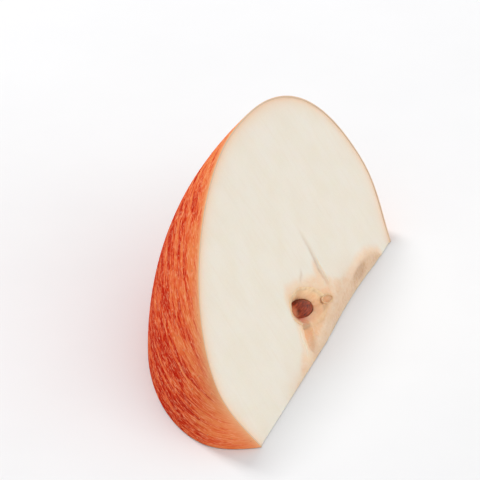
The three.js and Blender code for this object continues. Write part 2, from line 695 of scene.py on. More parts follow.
@dataclass(frozen=True)
class Scoop:
    """The slanting hollow in the core edge, the side of a long ellipsoid above the front cut."""

    shape: FruitShape
    across: float = -2.4 * MM
    raised: float = 12.5 * MM
    height: float = 40.0 * MM
    half_length: float = 54.5 * MM
    radius: float = 13.19 * MM
    lean: float = math.radians(-8.5)
    edge_round: float = 0.22 * MM

    def reach(self, heights: np.ndarray) -> tuple[np.ndarray, np.ndarray]:
        """Works out how far the hollow reaches along each cut.

        Args:
            heights: heights along the core.

        Returns:
            Its reach from the core edge along the front cut and along the back cut.
        """
        sine, cosine = math.sin(self.lean), math.cos(self.lean)
        span = math.hypot(self.half_length * cosine, self.radius * sine)
        slope = -(self.half_length ** 2 - self.radius ** 2) * sine * cosine / span ** 2
        middle = self.across + slope * (heights - self.height)
        section = self.radius * np.sqrt(np.clip(1 - ((heights - self.height) / span) ** 2, 0, 1))
        half_width = np.sqrt(np.clip(section ** 2 - self.raised ** 2, 0, None)) * self.half_length / span
        along_front = np.where(half_width > 0, np.clip(middle + half_width, 0, None), 0)
        angle = self.shape.wedge_angle
        above = self.raised * math.sin(angle) - middle * math.cos(angle)
        spare = middle ** 2 + self.raised ** 2 - section ** 2
        along_back = np.where(spare < 0, -above + np.sqrt(np.clip(above ** 2 - spare, 0, None)), 0)
        return along_front, along_back


@dataclass(frozen=True)
class Dent:
    """An oval hollow in the front cut."""

    across: float
    height: float
    half_width: float
    half_length: float
    depth: float = 0.0
    lean: float = 0.0

    def local(self, across: np.ndarray, height: np.ndarray) -> tuple[np.ndarray, np.ndarray]:
        """Gives places in the dent's own widths and lengths.

        Args:
            across: distances from the core edge.
            height: heights along the core.

        Returns:
            The shares of its half width and of its half length.
        """
        sine, cosine = math.sin(self.lean), math.cos(self.lean)
        off_across, off_height = across - self.across, height - self.height
        wide = (off_across * cosine + off_height * sine) / self.half_width
        long = (off_height * cosine - off_across * sine) / self.half_length
        return wide, long

    def distance(self, across: np.ndarray, height: np.ndarray) -> np.ndarray:
        """Gives how far out places are: 0 in the middle and 1 on the rim."""
        wide, long = self.local(across, height)
        return np.hypot(wide, long)

    def at(self, wide: np.ndarray, long: np.ndarray) -> tuple[np.ndarray, np.ndarray]:
        """Turns offsets from the middle, over and along the dent, into across and height.

        Args:
            wide: offsets over the dent.
            long: offsets along it.

        Returns:
            Across and height.
        """
        sine, cosine = math.sin(self.lean), math.cos(self.lean)
        return self.across + wide * cosine - long * sine, self.height + wide * sine + long * cosine

    def ring(self, turn: np.ndarray) -> np.ndarray:
        """Gives the rim's offsets from the middle, over and along the dent, at angles round it."""
        return np.stack([self.half_width * np.cos(turn), self.half_length * np.sin(turn)])


SEED_CELL = Dent(5.5 * MM, 32.6 * MM, 2.4 * MM, 4.6 * MM, 2.9 * MM, math.radians(18))
CELL_TAIL = Dent(3.0 * MM, 28.8 * MM, 1.25 * MM, 2.8 * MM, 1.3 * MM, math.radians(-52))
SHUT_CELL = Dent(3.65 * MM, 38.1 * MM, 0.6 * MM, 1.5 * MM, 0.5 * MM, math.radians(20))


@dataclass(frozen=True)
class Strand:
    """A line of the core in the front cut: its (across, height) points in millimetres, and its shape.

    The radius is only for a strand that is raised. A drawn one has none.
    """

    points: tuple[Pair, ...]
    radius: float = 0.0
    closed: bool = False
    sunk: float = 0.08 * MM
    inner_part: Span = (0.02, 0.98)
    end_fade: float = 0.5

    def line(self, shape: FruitShape) -> np.ndarray:
        """Gives its points in the model's frame."""
        places = np.array(self.points) * MM
        return shape.place(places[:, 0], places[:, 1], np.full(len(places), self.sunk))

    def trace(self, across: np.ndarray, height: np.ndarray, half_width: float) -> np.ndarray:
        """Gives how near places are to the strand: 1 on it, fading to 0 beside it and towards its ends.

        Args:
            across: distances from the core edge.
            height: heights along the core.
            half_width: how far the fading reaches, in metres.

        Returns:
            The shares.
        """
        nodes = np.array(self.points) * MM
        nearest = np.full(across.shape, np.inf)
        along = np.zeros(across.shape)
        stretches = list(zip(nodes, nodes[1:]))
        for number, (start, end) in enumerate(stretches):
            gap, share = nearest_on(start, end, across, height)
            along = np.where(gap < nearest, (number + share) / len(stretches), along)
            nearest = np.minimum(nearest, gap)
        fade = np.sin(np.clip(along, *self.inner_part) * math.pi) ** self.end_fade
        return fade * np.exp(-(nearest / half_width) ** 2)


VEIN = Strand(((4.6, 40.2), (5.6, 40.5), (6.9, 40.5), (8.4, 40.8), (9.5, 41.1), (10.7, 41.4), (12.9, 41.5)))
VEIN_RIDGE = Strand(((4.7, 41.0), (6.0, 41.2), (7.2, 41.2), (8.6, 41.5), (9.9, 41.9)),
                    radius=0.17 * MM, sunk=0.11 * MM)
TAIL_FOLD = Strand(((2.8, 30.9), (2.3, 30.2), (1.7, 29.2), (1.0, 28.0), (0.5, 26.6)))
TAIL_RIDGE = Strand(((5.4, 27.6), (4.5, 26.9), (3.5, 26.2), (2.4, 25.9), (1.6, 25.2), (1.2, 24.2)),
                    radius=0.2 * MM, sunk=0.1 * MM)
SQUIGGLE = Strand(((9.7, 36.2), (9.2, 35.6), (9.0, 34.8), (8.5, 34.2)))


# ---------------------------------------------------------------- finishes


@dataclass(frozen=True)
class FleshFinish:
    """Moist cream flesh with a fine grain, warmer beside the peel and tan to brown round the core."""

    cream: Colour = srgb(233, 225, 211)
    ivory: Colour = srgb(231, 222, 205)
    fibre_tone: Colour = srgb(226, 211, 190)
    sparkle: Colour = srgb(255, 250, 236)
    rim: Colour = srgb(240, 194, 156)
    tan: Colour = srgb(236, 200, 164)
    amber: Colour = srgb(238, 182, 132)
    brown: Colour = srgb(188, 148, 114)
    pale: Colour = srgb(248, 226, 198)
    grain: float = 0.2 * MM
    fibre: Sizes = (5.0 * MM, 0.7 * MM, 0.7 * MM)
    cloud: float = 4.5 * MM
    mottle: Sizes = (0.9 * MM, 1.8 * MM, 0.9 * MM)
    ivory_clouds: Limits = (0.36, 0.66)
    fibre_show: Limits = (0.5, 0.75, 0.0, 0.2)
    patchiness: Limits = (0.32, 0.66, 0.75, 1.1)
    sparkle_show: Limits = (0.3, 0.75, 0.0, 0.14)
    roughness: Limits = (0.3, 0.7, 0.38, 0.52)
    grain_height: float = 0.05 * MM
    bump_strength: float = 0.35

    def build(self, wedge_angle: float) -> bpy.types.Material:
        """Makes the material.

        Args:
            wedge_angle: the angle of the front cut, which the fibres follow.

        Returns:
            The material.
        """
        graph = ShaderGraph("cut_flesh")
        place = graph.place()
        clouds = graph.noise(graph.stretched(place, (self.cloud,) * 3), detail=3)
        fibre_turn = (0.0, wedge_angle - math.pi, 0.0)
        fibres = graph.noise(graph.stretched(place, self.fibre, fibre_turn), detail=2)
        grain = graph.noise(graph.stretched(place, (self.grain,) * 3), detail=3, roughness=0.6)
        mottle = graph.noise(graph.stretched(place, self.mottle), detail=3, roughness=0.6, distortion=0.6)
        patchy = graph.ramp(mottle, *self.patchiness)
        colour = graph.blend(graph.ramp(clouds, *self.ivory_clouds), self.cream, self.ivory)
        colour = graph.blend(graph.ramp(fibres, *self.fibre_show), colour, self.fibre_tone)
        colour = graph.blend(graph.attribute("rim"), colour, self.rim)
        # The brown stain tint also holds painted shade on the scoop's wall
        for name, tone in (("core", self.tan), ("amber", self.amber), ("stain_and_painted_light", self.brown)):
            share = graph.math("MULTIPLY", graph.attribute(name), patchy, clamp=True)
            colour = graph.blend(share, colour, tone)
        # The pale tint holds the pale ridge, and a painted highlight along the scoop's rim
        colour = graph.blend(graph.attribute("pale"), colour, self.pale)
        colour = graph.blend(graph.ramp(grain, *self.sparkle_show), colour, self.sparkle)
        graph.settings(Base_Color=colour, Roughness=graph.ramp(grain, *self.roughness),
                       IOR=1.42, Specular_IOR_Level=0.35, Subsurface_Weight=0.3,
                       Subsurface_Radius=(1.0, 0.62, 0.36), Subsurface_Scale=1.1 * MM,
                       Coat_Weight=0.12, Coat_Roughness=0.3)
        graph.bump(grain, self.grain_height, self.bump_strength)
        return graph.material


@dataclass(frozen=True)
class PeelFinish:
    """Red peel without a sheen, finely streaked along, more orange beside the front cut and the stem end."""

    deep: Colour = srgb(178, 26, 12)
    red: Colour = srgb(228, 54, 28)
    orange: Colour = srgb(238, 130, 74)
    fleck: Colour = srgb(250, 174, 130)
    glow: Colour = srgb(238, 186, 140)
    inner: Colour = srgb(214, 190, 164)
    band: Sizes = (1.3 * MM, 12.0 * MM, 1.0)
    streak: Sizes = (0.6 * MM, 3.6 * MM, 1.0)
    fibre: Sizes = (0.3 * MM, 1.2 * MM, 1.0)
    pore: Sizes = (0.35 * MM, 0.6 * MM, 1.0)
    band_redness: Limits = (0.36, 0.64, 0.15, 0.85)
    streak_redness: Limits = (0.34, 0.66, -0.45, 0.45)
    warm_loss: float = 0.75
    deep_show: Limits = (0.6, 1.0, 0.0, 0.65)
    fleck_show: Limits = (0.5, 0.66)
    fleck_by_streak: Limits = (0.3, 0.6, 0.8, 0.45)
    dark_fibre: Limits = (0.47, 0.34)
    dark_by_redness: Limits = (0.0, 1.0, 0.08, 0.36)
    inner_show: Limits = (0.02, 0.35)
    roughness: Limits = (0.3, 0.7, 0.4, 0.52)
    pore_height: float = 0.03 * MM
    bump_strength: float = 0.35

    def build(self) -> bpy.types.Material:
        """Makes the material, which reads the peel's own map of longitude and length.

        Returns:
            The material.
        """
        graph = ShaderGraph("red_peel")
        place = graph.node("ShaderNodeUVMap", uv_map="UVMap").outputs[0]
        bands = graph.noise(graph.stretched(place, self.band), detail=2, distortion=0.4)
        streaks = graph.noise(graph.stretched(place, self.streak), detail=3, roughness=0.6, distortion=0.8)
        fibres = graph.noise(graph.stretched(place, self.fibre), detail=2, roughness=0.6, distortion=0.9)
        redness = graph.plus(graph.ramp(bands, *self.band_redness), graph.ramp(streaks, *self.streak_redness))
        warm = graph.times(graph.attribute("warm"), self.warm_loss)
        redness = graph.math("SUBTRACT", redness, warm, clamp=True)
        colour = graph.blend(redness, self.orange, self.red)
        colour = graph.blend(graph.ramp(redness, *self.deep_show), colour, self.deep)
        light = graph.times(graph.ramp(fibres, *self.fleck_show), graph.ramp(streaks, *self.fleck_by_streak))
        colour = graph.blend(light, colour, self.fleck)
        dark = graph.times(graph.ramp(fibres, *self.dark_fibre), graph.ramp(redness, *self.dark_by_redness))
        colour = graph.blend(dark, colour, self.deep)
        colour = graph.blend(graph.attribute("edge"), colour, self.glow)
        colour = graph.blend(graph.ramp(graph.attribute("inside"), *self.inner_show), colour, self.inner)
        graph.settings(Base_Color=colour, Roughness=graph.ramp(fibres, *self.roughness),
                       IOR=1.3, Specular_IOR_Level=0.0, Subsurface_Weight=0.05,
                       Subsurface_Radius=(1.0, 0.3, 0.15), Subsurface_Scale=0.6 * MM)
        pores = graph.noise(graph.stretched(place, self.pore), detail=2)
        graph.bump(pores, self.pore_height, self.bump_strength)
        return graph.material


@dataclass(frozen=True)
class PlainFinish:
    """A small piece's finish: two tones that a fine pattern mixes."""

    name: str
    light: Colour
    dark: Colour
    cell: Sizes
    roughness: float
    specular: float = 0.35
    coat: float = 0.0
    subsurface: float = 0.0
    stain_and_painted_light: Colour | None = None
    dark_show: Limits = (0.35, 0.68)
    bump_height: float = 0.03 * MM
    bump_strength: float = 0.3

    def build(self) -> bpy.types.Material:
        """Makes the material.

        Returns:
            The material.
        """
        graph = ShaderGraph(self.name)
        pattern = graph.noise(graph.stretched(graph.place(), self.cell), detail=3, roughness=0.6)
        colour = graph.blend(graph.ramp(pattern, *self.dark_show), self.light, self.dark)
        if self.stain_and_painted_light:
            colour = graph.blend(graph.attribute("stain_and_painted_light"), colour, self.stain_and_painted_light)
        graph.settings(Base_Color=colour, Roughness=self.roughness, IOR=1.45,
                       Specular_IOR_Level=self.specular, Coat_Weight=self.coat, Coat_Roughness=0.16,
                       Subsurface_Weight=self.subsurface, Subsurface_Radius=(1.0, 0.5, 0.3),
                       Subsurface_Scale=0.6 * MM)
        graph.bump(pattern, self.bump_height, self.bump_strength)
        return graph.material


LINING_FINISH = PlainFinish("cell_parchment", srgb(250, 210, 166), srgb(242, 194, 146),
                            (0.5 * MM, 2.0 * MM, 0.5 * MM), roughness=0.4, coat=0.15, subsurface=0.25,
                            stain_and_painted_light=srgb(196, 112, 84))
RIDGE_FINISH = PlainFinish("pale_ridge", srgb(246, 228, 204), srgb(240, 216, 186),
                           (0.5 * MM, 0.9 * MM, 0.5 * MM), roughness=0.5, subsurface=0.3)
STRAND_FINISH = PlainFinish("vessel_strand", srgb(228, 190, 150), srgb(212, 168, 126),
                            (0.4 * MM, 0.9 * MM, 0.4 * MM), roughness=0.5, subsurface=0.2)
DOT_FINISH = PlainFinish("peel_dots", srgb(228, 150, 100), srgb(208, 112, 70),
                         (0.3 * MM, 0.3 * MM, 0.3 * MM), roughness=0.55, specular=0.2)
# The pip's stain tint paints its pale stem point, and a lighter calyx end that is partly a painted reflection
PIP_FINISH = PlainFinish("seed_coat", srgb(166, 68, 36), srgb(72, 15, 6),
                         (0.3 * MM, 2.2 * MM, 0.3 * MM), roughness=0.34, specular=0.12,
                         stain_and_painted_light=srgb(204, 132, 96))
FLOOR_FINISH = PlainFinish("plain_floor", srgb(235, 235, 236), srgb(233, 233, 234),
                           (30 * MM, 30 * MM, 30 * MM), roughness=0.7, specular=0.1)


# ---------------------------------------------------------------- the flesh


@dataclass(frozen=True)
class Patch:
    """A soft-edged patch in the front cut, from its outline of (across, height) in millimetres."""

    outline: tuple[Pair, ...]
    softness: float

    def at(self, across: np.ndarray, height: np.ndarray) -> np.ndarray:
        """Gives how much of the patch there is at places in the front cut.

        Args:
            across: distances from the core edge.
            height: heights along the core.

        Returns:
            The shares, from 0 outside to 1 inside.
        """
        nodes = np.array(self.outline) * MM
        nearest = np.full(across.shape, np.inf)
        inside = np.zeros(across.shape, bool)
        for start, end in zip(nodes, np.roll(nodes, -1, axis=0)):
            nearest = np.minimum(nearest, nearest_on(start, end, across, height)[0])
            crossing = (start[1] > height) != (end[1] > height)
            if crossing.any():
                slope = (end[0] - start[0]) / (end[1] - start[1])
                inside ^= crossing & (across < start[0] + (height - start[1]) * slope)
        return smooth_step(np.where(inside, nearest, -nearest), -self.softness, self.softness)


TAN_PATCH = Patch((
    (10.2, 30.0), (9.3, 33.5), (8.2, 36.6), (7.5, 38.6), (8.8, 40.0), (8.2, 40.5), (6.0, 40.9), (4.7, 42.2),
    (3.6, 44.2), (3.2, 48.0), (3.4, 51.0), (3.0, 54.5), (1.4, 57.6), (-0.5, 58.0), (-1.0, 40.0), (-1.0, 20.0),
    (0.8, 20.5), (1.9, 23.0), (2.6, 25.0), (4.2, 26.4), (5.6, 27.2), (7.4, 27.6), (9.2, 28.4),
), softness=0.8 * MM)
AMBER_PATCH = Patch((
    (8.8, 29.6), (8.1, 33.2), (6.8, 36.4), (5.2, 37.8), (4.6, 39.8), (3.0, 40.0), (2.4, 37.2), (2.0, 33.5),
    (1.9, 31.2), (1.9, 29.2), (1.5, 27.2), (2.0, 26.6), (2.8, 27.2), (3.9, 27.8), (5.2, 28.0), (7.0, 28.2),
), softness=0.55 * MM)
NOTCH_SPOT = Dent(1.6 * MM, 50.0 * MM, 1.1 * MM, 2.9 * MM)


@dataclass(frozen=True)
class Trace:
    """What a strand leaves on the front cut beside it: how strong it is and how wide."""

    strand: Strand
    strength: float
    half_width: float

    def at(self, across: np.ndarray, height: np.ndarray) -> np.ndarray:
        """Gives how much of it there is at places in the front cut."""
        return self.strength * self.strand.trace(across, height, self.half_width)


@dataclass
class Flesh:
    """The slice's flesh, lofted from calyx end to stem end, with the relief of its front cut."""

    shape: FruitShape
    scoop: Scoop
    peel_overlap: float = 0.19 * MM
    rows: int = 400
    front_columns: int = 120
    arc_columns: int = 22
    back_columns: int = 40
    wall_columns: int = 14
    sharp_angle: float = math.radians(38)

    # How the columns of the front cut crowd towards the core edge, how full an unscooped edge is, and, in
    # edge roundings, where the hollow and the room for the rounding are whole
    crowding: float = 0.55
    edge_fullness: float = 0.3
    hollow_whole: float = 3.0
    room_whole: float = 4.0

    # The relief of the front cut, which fades out at the rim and at both ends of the loft
    rim_sink: float = 0.05 * MM
    rim_fade: Span = (0.0, 0.25 * MM)
    end_fade: float = 12.0
    edge_fade: float = 14.0
    cell_swell: float = 1.05
    cell_rounding: float = 0.12 * MM
    cell_lip: Span = (1.15, 1.0)
    tail_power: float = 0.7
    shut_dip: Span = (1.15, 0.35)
    lump_height: float = 0.02 * MM
    ripple_height: float = 0.05 * MM
    torn_height: float = 0.06 * MM
    torn_zone: Span = (0.5 * MM, 1.6 * MM)
    grooves: tuple[Trace, ...] = (Trace(VEIN, 0.14 * MM, 0.4 * MM), Trace(TAIL_FOLD, 0.12 * MM, 0.4 * MM),
                                  Trace(TAIL_RIDGE, -0.10 * MM, 0.55 * MM))

    # Where the front cut is tinted, and how strongly
    rim_warmth: float = 0.8 * MM
    cut_zone: Span = (4.5 * MM, 3.2 * MM)
    scooped_zone: Span = (-0.7 * MM, 0.6 * MM)
    scoop_start: Span = (0.0, 0.8 * MM)
    # Painted highlight: a pale band on the front cut along the scoop's rim, where the scoop is deep and high
    # up
    highlight_fringe_width: float = 0.8 * MM
    highlight_fringe_start: Span = (0.8 * MM, 2.2 * MM)
    highlight_fringe_heights: Span = (42 * MM, 48 * MM)
    highlight_fringe_share: float = 0.35
    spot_zone: Span = (1.2, 0.3)
    edge_width: float = 0.9 * MM
    edge_top: Span = (52 * MM, 44 * MM)
    edge_foot: Span = (12 * MM, 20 * MM)
    edge_browning: Span = (25 * MM, 29 * MM)
    edge_brown: Pair = (0.3, 0.35)
    shut_rim: Pair = (0.95, 0.3)
    shut_rim_brown: float = 0.35
    shut_zone: Span = (1.5, 0.6)
    tan_share: float = 0.9
    amber_shares: Pair = (0.85, 0.5)
    spot_amber: float = 0.25
    tail_zone: Span = (1.2, 0.6)
    tail_clearing: float = 0.7
    # The scoop wall's brown, partly its own and partly painted shade: an even share, a lumpy share and the
    # spot's share
    scoop_brown_and_shade: Triple = (0.4, 0.06, 0.5)
    stains: tuple[Trace, ...] = (Trace(VEIN, 0.5, 0.42 * MM), Trace(TAIL_FOLD, 0.2, 0.5 * MM),
                                 Trace(SQUIGGLE, 0.4, 0.28 * MM))
    pale_ridge: Trace = Trace(TAIL_RIDGE, 0.6, 0.6 * MM)

    lumps: WaveNoise = field(default_factory=lambda: WaveNoise(5.0 * MM, seed=11))
    ripple: WaveNoise = field(default_factory=lambda: WaveNoise(1.3 * MM, seed=12))
    torn: WaveNoise = field(default_factory=lambda: WaveNoise(0.9 * MM, seed=13))

    def _sections(self) -> tuple[np.ndarray, np.ndarray, np.ndarray]:
        """Works out every row of the loft.

        Returns:
            Across, height and depth, as arrays of rows by columns. A row runs out over the front cut, round
            under the peel, back along the lower cut and up the wall of the core edge.
        """
        rim = self.shape.profile(self.peel_overlap, self.rows)
        radii, rim_height = rim[:, :1], rim[:, 1:]
        edge_height = np.linspace(rim_height[0, 0], rim_height[-1, 0], self.rows)[:, None]
        front_turn, back_turn = self.shape.front_turn(radii), -self.shape.wedge_angle
        rim_across, _ = self.shape.from_longitude(radii, front_turn)
        back_across, back_depth = self.shape.from_longitude(radii, back_turn + 0 * radii)

        edge_round = self.scoop.edge_round
        room = np.clip(rim_across / (self.room_whole * edge_round), 0, 1)
        along_front, along_back = self.scoop.reach(edge_height)
        hollow = smooth_step(along_front, edge_round, self.hollow_whole * edge_round)
        along_front = np.maximum(along_front, edge_round * room)
        along_back = np.maximum(along_back, edge_round * room)
        inner_across = along_back * math.cos(self.shape.wedge_angle)
        inner_depth = along_back * math.sin(self.shape.wedge_angle)

        even = np.linspace(0, 1, self.front_columns)[None, :]
        out = (1 - self.crowding) * even + self.crowding * even ** 2
        front = (along_front + (rim_across - along_front) * out,
                 edge_height + (rim_height - edge_height) * out,
                 np.zeros((self.rows, self.front_columns)))
        round_share = np.linspace(0, 1, self.arc_columns + 2)[None, 1:-1]
        arc_across, arc_depth = self.shape.from_longitude(
            radii, front_turn + (back_turn - front_turn) * round_share)
        arc = (arc_across, rim_height + 0 * arc_across, arc_depth)
        inwards = np.linspace(0, 1, self.back_columns)[None, :]
        back = (back_across + (inner_across - back_across) * inwards,
                rim_height + (edge_height - rim_height) * inwards,
                back_depth + (inner_depth - back_depth) * inwards)
        up = np.linspace(0, 1, self.wall_columns + 2)[None, 1:-1]
        wall_across = inner_across + (along_front - inner_across) * up
        wall_depth = inner_depth * (1 - up)
        chord = np.hypot(along_front - inner_across, inner_depth) + TINY
        sag = hollow * chord ** 2 / (8 * self.scoop.radius) - (1 - hollow) * self.edge_fullness * chord
        bow = 4 * up * (1 - up) * sag
        wall = (wall_across + bow * inner_depth / chord,
                edge_height + 0 * wall_across,
                wall_depth + bow * (along_front - inner_across) / chord)
        return tuple(np.concatenate(parts, axis=1) for parts in zip(front, arc, back, wall))

    def ground(self, across: np.ndarray, height: np.ndarray) -> np.ndarray:
        """Works out how far the front cut's surface would lie below its plane without the seed cell.

        Args:
            across: distances from the core edge.
            height: heights along the core.

        Returns:
            The depths, in metres.
        """
        places = np.stack([across, height, 0 * across], axis=1)
        ripple = TAN_PATCH.at(across, height) * (1 + self.ripple.at(places))
        sink = self.lump_height * (1 + self.lumps.at(places)) + self.ripple_height * ripple
        tail = np.clip(1 - CELL_TAIL.distance(across, height) ** 2, 0, 1)
        sink = np.maximum(sink, CELL_TAIL.depth * tail ** self.tail_power)
        sink += SHUT_CELL.depth * smooth_step(SHUT_CELL.distance(across, height), *self.shut_dip)
        return sink + sum(groove.at(across, height) for groove in self.grooves)

    def relief(self, across: np.ndarray, height: np.ndarray) -> np.ndarray:
        """Works out how far the front cut's surface lies below its plane, with the seed cell's hollow.

        Args:
            across: distances from the core edge.
            height: heights along the core.

        Returns:
            The depths, in metres.
        """
        cell = SEED_CELL.distance(across, height) / self.cell_swell
        outside, inside = self.cell_lip
        rounding = np.clip((outside - cell) / (outside - inside), 0, 1) ** 2
        sink = self.ground(across, height) + self.cell_rounding * rounding
        return np.maximum(sink, SEED_CELL.depth * self.cell_swell * np.sqrt(np.clip(1 - cell ** 2, 0, 1)))

    def build(self, finish: bpy.types.Material) -> bpy.types.Object:
        """Makes the flesh and stores what its finish reads.

        Args:
            finish: the flesh's material.

        Returns:
            The piece.
        """
        across, height, depth = self._sections()
        rows = self.rows
        front, wall = slice(0, self.front_columns), slice(-self.wall_columns, None)
        rim_line = np.stack([across[:, self.front_columns - 1], height[:, self.front_columns - 1]], axis=1)
        keep = smooth_step(self._distance_to(rim_line, across[:, front], height[:, front]), *self.rim_fade)
        sink = self.relief(across[:, front].ravel(), height[:, front].ravel()).reshape(rows, -1)
        open_ends = np.clip(np.sin(np.linspace(0, math.pi, rows))[:, None] * self.end_fade, 0, 1)
        off_edge = np.clip(np.linspace(0, 1, self.front_columns) * self.edge_fade, 0, 1)[None, :]
        depth[:, front] += (sink * keep * off_edge + self.rim_sink * (1 - keep)) * open_ends

        wall_places = np.stack([part[:, wall].ravel() for part in (across, height, depth)], axis=1)
        bite = np.sin(np.linspace(0, math.pi, self.wall_columns))[None, :]
        scooped = smooth_step(self.scoop.reach(height[:, wall])[0], *self.torn_zone)
        depth[:, wall] += self.torn_height * self.torn.at(wall_places).reshape(rows, -1) * bite * scooped

        points = self.shape.place(across, height, depth)
        points[..., 2] = np.maximum(points[..., 2], 0)
        piece = lofted_piece("flesh", points, finish)
        self._paint(piece.data, rim_line)
        piece.data.set_sharp_from_angle(angle=self.sharp_angle)
        return piece

    @staticmethod
    def _distance_to(line: np.ndarray, across: np.ndarray, height: np.ndarray) -> np.ndarray:
        """Measures how far places are from a line of points.

        Args:
            line: rows of (across, height).
            across: the places' distances from the core edge.
            height: the places' heights.

        Returns:
            The distances, in the places' own shape.
        """
        flat = np.stack([across.ravel(), height.ravel()], axis=1)
        nearest = np.empty(len(flat))
        batch = 4000
        for start in range(0, len(flat), batch):
            part = flat[start:start + batch]
            gaps = np.linalg.norm(part[:, None, :] - line[None, :, :], axis=2)
            nearest[start:start + batch] = gaps.min(axis=1)
        return nearest.reshape(across.shape)

    def _paint(self, mesh: bpy.types.Mesh, rim_line: np.ndarray) -> None:
        """Stores the zones that the finish tints: the warm rim, the tan core, the brown stains with painted
        shade on the scoop's wall, and a painted highlight beside it.

        Args:
            mesh: the flesh's mesh.
            rim_line: the front cut's outer edge, as rows of (across, height).
        """
        points = vertex_array(mesh)
        across, height, depth = self.shape.unplace(points)
        in_front = smooth_step(depth, *self.cut_zone)
        reach, _ = self.scoop.reach(height)
        beside = np.clip(across - reach, 0, None)
        scooped = smooth_step(reach - across, *self.scooped_zone) * smooth_step(reach, *self.scoop_start)
        # Painted highlight: a pale band along the scoop's rim on the front cut
        highlight_fringe = np.exp(-(beside / self.highlight_fringe_width) ** 2) * smooth_step(reach, *self.highlight_fringe_start)
        highlight_fringe *= (1 - scooped) * smooth_step(height, *self.highlight_fringe_heights)
        spot = smooth_step(NOTCH_SPOT.distance(across, height), *self.spot_zone) * scooped
        edge = np.exp(-beside / self.edge_width) * (1 - scooped)
        edge *= smooth_step(height, *self.edge_top) * smooth_step(height, *self.edge_foot)
        shut = SHUT_CELL.distance(across, height)
        rim_place, rim_width = self.shut_rim
        shut_rim = np.exp(-((shut - rim_place) / rim_width) ** 2)

        rim = np.exp(-self._distance_to(rim_line, across, height) / self.rim_warmth)
        tan = np.maximum(np.maximum(TAN_PATCH.at(across, height) * self.tan_share, edge), scooped)
        cell_share, shut_share = self.amber_shares
        amber = np.maximum(AMBER_PATCH.at(across, height) * cell_share,
                           smooth_step(shut, *self.shut_zone) * shut_share)
        brown_foot, browning = self.edge_brown
        brown = sum(stain_and_painted_light.at(across, height) for stain_and_painted_light in self.stains) + self.shut_rim_brown * shut_rim
        brown += (brown_foot + browning * smooth_step(height, *self.edge_browning)) * edge
        brown *= 1 - self.tail_clearing * smooth_step(CELL_TAIL.distance(across, height), *self.tail_zone)
        # Painted shade: on the scoop's wall the brown is partly the wall's own and partly painted shade
        even, lumpy, spotty = self.scoop_brown_and_shade
        brown = brown * (1 - scooped) + scooped * (even + lumpy * self.lumps.at(points) + spotty * spot)
        pale = self.pale_ridge.at(across, height) + self.highlight_fringe_share * highlight_fringe
        amber = amber * (1 - scooped) + self.spot_amber * spot
        store(mesh, "rim", np.clip(rim, 0, 1))
        for name, values in (("core", tan), ("amber", amber), ("stain_and_painted_light", brown), ("pale", pale)):
            store(mesh, name, np.clip(values * in_front, 0, 1))


# ---------------------------------------------------------------- the peel


OUTER_FACE = 0.01  # the stored share of the way to the inner face stays below this on the outer one


class Side(Enum):
    """Which face of the peel a line of its section is for."""

    OUTER = 0
    INNER = 1


